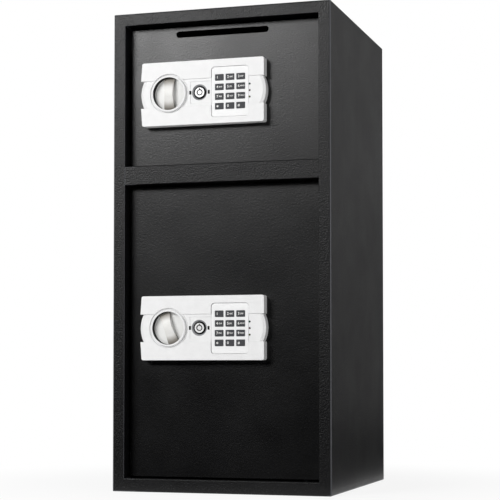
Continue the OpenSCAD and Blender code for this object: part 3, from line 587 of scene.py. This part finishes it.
felt, tree, shader, place = start_finish("needle felt, charcoal",
    {"Roughness": 0.95, "Sheen Weight": 0.25, "Specular IOR Level": 0.1})
fibres = add(tree, "ShaderNodeTexNoise", {}, {"Vector": place, "Scale": 1 / (1.1 * mm),
    "Detail": 5.0, "Roughness": 0.75, "Distortion": 1.4}).outputs["Fac"]
tufts = add(tree, "ShaderNodeTexNoise", {}, {"Vector": place, "Scale": 1 / (9 * mm), "Detail": 3.0})
both = add(tree, "ShaderNodeMath", {"operation": "MULTIPLY_ADD"},
    {0: fibres, 1: 0.7, 2: tufts.outputs["Fac"]})
colour = add(tree, "ShaderNodeValToRGB", {"stops": [(0.35, "#17181a"), (0.7, "#36373a")]},
    {"Fac": fibres})
feed(tree, shader, {"Base Color": colour.outputs["Color"]})
raise_relief(tree, shader, both.outputs[0], 0.9, 0.6 * mm)
dress("floor_mats", felt)

# Sleeve anchors: four come with the safe to bolt it down, and lie on the lower mat. A hex
# bolt with a coned end pulls into a ribbed sleeve; all of it is bright zinc plated.

anchor_zinc = plated("steel, bright zinc plated", "#b4b6ba", "#d2d4d6", 0.22, (0.3, 2, 0.3), 0.2)
# Radii and heights in mm, from the coned end to the washer under the head.
cone_end = [(0, 0), (4.7, 0), (5.0, 0.4), (5.0, 2.6), (4.6, 4.2), (3.3, 8.6), (3.3, 9.5), (4.1, 9.5),
    (4.3, 9.8)]
rib = ((4.3, 0), (4.0, 0.35), (4.0, 0.75), (4.3, 1.1))
rib_from, rib_step, rib_count = 12, 2.6, 13
ribs = [(r, rib_from + step * rib_step + h) for step in range(rib_count) for r, h in rib]
washer = [(4.3, 50.4), (8.1, 50.4), (8.5, 50.7), (8.5, 51.7), (8.1, 52), (0, 52)]
washer_r = 8.5 * mm
anchor_step = 32 * mm
slit_from, slit_to = 9.6 * mm, 37 * mm
slit_apart, slit_half = 120, 7          # degrees between the slits, and half of one's width
slit_floor = 0.76                       # its floor, as a share of the sleeve's radius
head_r, head_h, head_y = 7.5 * mm, 5.5 * mm, 54.75 * mm

low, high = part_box("anchor_bolts")
z = (low.z + high.z) / 2
shape = bmesh.new()
for step in range(4):
    x = low.x + washer_r + step * anchor_step
    turn_profile(shape, cone_end + ribs + washer, x, low.y, z, 48)
    # The walls and floors of three slits, copied from the skin and pushed in. The skin they
    # are copied from stays over them, so a sleeve looks whole.
    slit = []
    for face in shape.faces:
        centre = face.calc_center_median()
        angle = math.degrees(math.atan2(centre.z - z, centre.x - x)) % slit_apart
        on_sleeve = abs(centre.x - x) < anchor_step / 2 and slit_from < centre.y - low.y < slit_to
        if on_sleeve and min(angle, slit_apart - angle) < slit_half:
            slit.append(face)
    for vert in bmesh.ops.extrude_face_region(shape, geom=slit)["geom"]:
        if isinstance(vert, bmesh.types.BMVert):
            vert.co.x = x + (vert.co.x - x) * slit_floor
            vert.co.z = z + (vert.co.z - z) * slit_floor
    # The hex head, with its edges broken.
    head = bmesh.ops.create_cone(shape, cap_ends=True, segments=6,
        radius1=head_r, radius2=head_r, depth=head_h)["verts"]
    upright = Matrix.Rotation(math.radians(-90), 3, "X")
    bmesh.ops.rotate(shape, cent=(0, 0, 0), matrix=upright, verts=head)
    bmesh.ops.translate(shape, vec=(x, low.y + head_y, z), verts=head)
    rim = {edge for vert in head for edge in vert.link_edges}
    bmesh.ops.bevel(shape, geom=list(rim), offset=0.5 * mm, affect="EDGES", segments=2,
        profile=0.5, material=-1)
anchors = piece_of("sleeve_anchors", shape, anchor_zinc, "cabinet")
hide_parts("anchor_bolts")

# Floor and studio: a plain pale floor and an even pale room, with a large softbox at the
# upper left in front, two weak ones at the right and a low fill. To the camera and to shiny
# or clear surfaces the room and the floor are white. Dark cards show in the black paint.


def seen_rays(tree):
    """1 for what the camera and shiny or clear surfaces see, 0 for what lights the rest."""
    rays = add(tree, "ShaderNodeLightPath", {}, {})
    seen = rays.outputs["Is Camera Ray"]
    for other in ("Is Glossy Ray", "Is Transmission Ray"):
        seen = add(tree, "ShaderNodeMath", {"operation": "MAXIMUM"},
            {0: seen, 1: rays.outputs[other]}).outputs[0]
    return seen


# The floor glows white to the eye, less so near the safe, where its shadow has to show.
near_r, far_r = 0.22, 0.7
near_glow, far_glow = 0.88, 1.0
floor_paint, tree, shader, place = start_finish("studio floor, pale", {})
tree.nodes.remove(shader)
paint = add(tree, "ShaderNodeBsdfDiffuse", {}, {"Color": linear("#f8f8f8")})
glow = add(tree, "ShaderNodeEmission", {}, {"Color": linear("#ffffff"), "Strength": 1.0})
away = add(tree, "ShaderNodeVectorMath", {"operation": "LENGTH"}, {0: place})
share = add(tree, "ShaderNodeMapRange", {"interpolation_type": "SMOOTHSTEP"},
    {"Value": away.outputs["Value"], "From Min": near_r, "From Max": far_r,
    "To Min": near_glow, "To Max": far_glow})
lit = add(tree, "ShaderNodeMath", {"operation": "MULTIPLY"}, {0: share.outputs[0], 1: seen_rays(tree)})
mix = add(tree, "ShaderNodeMixShader", {}, {0: lit.outputs[0], 1: paint.outputs[0], 2: glow.outputs[0]})
feed(tree, tree.nodes["Material Output"], {"Surface": mix.outputs[0]})

shape = bmesh.new()
bmesh.ops.create_circle(shape, cap_ends=True, segments=96, radius=12)
mesh = bpy.data.meshes.new("floor")
shape.to_mesh(mesh)
shape.free()
mesh.materials.append(floor_paint)
floor = bpy.data.objects.new("floor", mesh)
bpy.context.scene.collection.objects.link(floor)


def softbox(name, place, target, width, height, power):
    """A rectangular lamp that points at a target and stays out of the camera's sight."""
    lamp = bpy.data.lights.new(name, "AREA")
    lamp.shape = "RECTANGLE"
    lamp.size = width
    lamp.size_y = height
    lamp.energy = power
    holder = bpy.data.objects.new(name, lamp)
    holder.location = place
    holder.rotation_euler = (Vector(target) - Vector(place)).to_track_quat("-Z", "Y").to_euler()
    holder.visible_camera = False
    bpy.context.scene.collection.objects.link(holder)
    return holder


softbox("key softbox", (-1.3, -2.4, 1.50), (-0.05, -0.16, 0.5), 1.3, 0.7, 46)
softbox("tall side strip", (2.0, -1.25, 1.0), (0.1, -0.1, 0.5), 0.4, 1.3, 6)
softbox("low side softbox", (2.3, -1.3, 0.3), (0, -0.18, 0.22), 0.9, 0.9, 3.5)
# A weak lamp near the floor lights the lower lock panel; the black paint doesn't show it.
low_fill = softbox("low fill", (-0.35, -0.75, 0.12), (-0.08, -0.17, 0.26), 0.3, 0.3, 0.35)
low_fill.visible_glossy = False


def flag(name, corner, along, up, colour, top=None):
    """A dark card that only shiny surfaces see, as is set up round black paint in a studio.
    It may fade upwards to a second colour."""
    shape = bmesh.new()
    corner, along, up = Vector(corner), Vector(along), Vector(up)
    corners = (corner, corner + along, corner + along + up, corner + up)
    shape.faces.new([shape.verts.new(v) for v in corners])
    mesh = bpy.data.meshes.new(name)
    shape.to_mesh(mesh)
    shape.free()
    card, tree, shader, place = start_finish(name, {"Roughness": 1.0})
    height = add(tree, "ShaderNodeSeparateXYZ", {}, {"Vector": place})
    amount = add(tree, "ShaderNodeMapRange", {}, {"Value": height.outputs["Z"],
        "From Min": corner.z, "From Max": corner.z + max(up.z, 10 * mm)})
    fade = add(tree, "ShaderNodeValToRGB", {"stops": [(0, colour), (1, top or colour)]},
        {"Fac": amount.outputs[0]})
    feed(tree, shader, {"Base Color": fade.outputs["Color"]})
    mesh.materials.append(card)
    made = bpy.data.objects.new(name, mesh)
    for ray in ("camera", "diffuse", "shadow", "transmission"):
        setattr(made, "visible_" + ray, False)
    bpy.context.scene.collection.objects.link(made)


flag("ceiling card", (-1.5, -2.2, 2.3), (3.0, 0, 0), (0, 2.0, 0), "#1c1c1c")
flag("side card", (0.2, 0.9, 0.07), (1.3, 0, 0), (0, 0, 1.5), "#acacac")
flag("low side card", (0.2, 0.9, 0), (1.3, 0, 0), (0, 0, 0.07), "#0c0c0c")
flag("floor card at the side", (0.2, -0.3, 0.001), (1.3, 0, 0), (0, 1.2, 0), "#0c0c0c")
flag("floor card in front", (-1.8, -1.2, 0.001), (2.8, 0, 0), (0, 0.98, 0), "#030303")
flag("front card", (-3.0, -1.2, 0), (4.5, 0, 0), (0, 0, 0.45), "#030303")
flag("graded front card", (-3.0, -1.2, 0.45), (4.5, 0, 0), (0, 0, 0.4), "#030303", "#b0b0b0")

room = bpy.data.worlds.new("pale room")
bpy.context.scene.world = room
room.use_nodes = True
tree = room.node_tree
strength = add(tree, "ShaderNodeMapRange", {}, {"Value": seen_rays(tree), "To Min": 0.3, "To Max": 1.0})
feed(tree, tree.nodes["Background"], {"Color": linear("#ffffff"), "Strength": strength.outputs[0]})

view = bpy.context.scene.view_settings
view.view_transform = "Standard"
